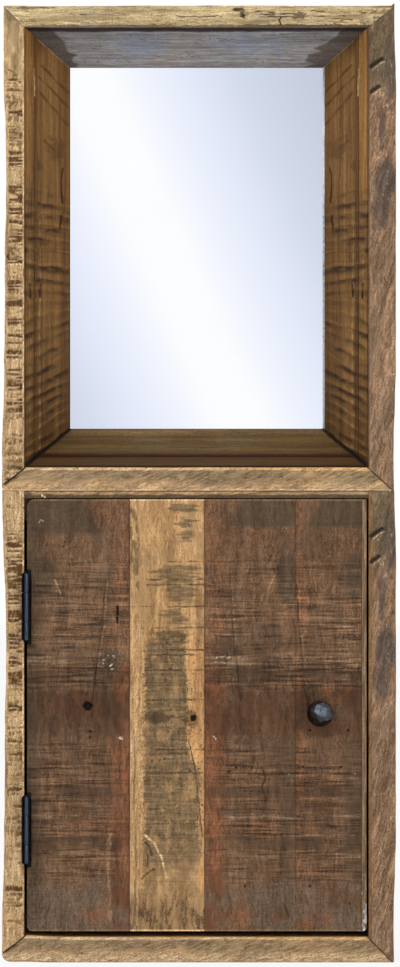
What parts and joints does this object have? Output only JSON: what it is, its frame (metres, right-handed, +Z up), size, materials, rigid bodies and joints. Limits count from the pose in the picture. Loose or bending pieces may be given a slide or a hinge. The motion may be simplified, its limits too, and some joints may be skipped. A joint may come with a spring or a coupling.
{
  "type": "mirrored key cabinet",
  "caption": "Tall wall cabinet of reclaimed boards with a mirror set back in a splayed liner above, and a plank door on butt hinges over key rails below.",
  "frame": {"origin": "on the wall plane, half way between the entry holes of the two keyhole plates", "axes": "+X to the right seen from the front, +Y into the wall, +Z up"},
  "size_m": [0.3, 0.1128, 0.735],
  "materials": {
    "frame_wood": "weathered, rough-sawn",
    "liner_wood": "weathered, rough-sawn",
    "door_dark_wood": "weathered, stained dark",
    "door_light_wood": "weathered, worn light",
    "inner_wood": "planed, bare",
    "back_board": "smooth board",
    "mirror": "polished, silvered behind",
    "black_iron": "blackened, slightly worn",
    "steel": "zinc plated",
    "hook_brass": "satin",
    "catch_plastic": "matte brown"
  },
  "bodies": {
    "cabinet": {"upper_left_board": "frame_wood", "upper_right_board": "frame_wood", "upper_top_board": "frame_wood", "upper_bottom_board": "frame_wood", "lower_left_board": "frame_wood", "lower_right_board": "frame_wood", "lower_bottom_board": "frame_wood", "lower_top_panel": "frame_wood", "liner_left": "liner_wood", "liner_right": "liner_wood", "liner_top": "liner_wood", "liner_bottom": "liner_wood", "hanging_rail": "inner_wood", "mirror_rail": "inner_wood", "rail_dowels": "inner_wood", "mitre_splines": "inner_wood", "left_joining_cleat": "inner_wood", "right_joining_cleat": "inner_wood", "upper_key_rail": "inner_wood", "lower_key_rail": "inner_wood", "mirror_backing": "back_board", "lower_back_panel": "back_board", "mirror_glass": "mirror", "upper_hinge_frame_leaf": "black_iron", "upper_hinge_pin": "black_iron", "lower_hinge_frame_leaf": "black_iron", "lower_hinge_pin": "black_iron", "hinge_frame_screws": "black_iron", "backing_pins": "steel", "keyhole_screws": "steel", "left_keyhole_plate": "steel", "right_keyhole_plate": "steel", "back_panel_pins": "steel", "cleat_side_screws": "steel", "cleat_top_screws": "steel", "key_rail_screws": "steel", "catch_magnet": "steel", "catch_screws": "steel", "upper_key_hooks": "hook_brass", "lower_key_hooks": "hook_brass", "catch_housing": "catch_plastic"},
    "door": {"door_plank_1": "door_dark_wood", "door_plank_2": "door_light_wood", "door_plank_3": "door_dark_wood", "door_plank_4": "door_dark_wood", "door_edge_lipping": "door_light_wood", "upper_door_batten": "inner_wood", "lower_door_batten": "inner_wood", "door_batten_screws": "steel", "upper_hinge_door_leaf": "black_iron", "lower_hinge_door_leaf": "black_iron", "hinge_door_screws": "black_iron", "knob": "black_iron", "knob_screw": "steel", "catch_strike": "steel", "catch_strike_screw": "steel"}
  },
  "joints": [
    {"name": "door_swing", "type": "hinge", "parent": "cabinet", "child": "door", "pos_m": [-0.13385, -0.0933, -0.4985], "axis": [0, 0, -1], "range_deg": [0, 170]}
  ]
}
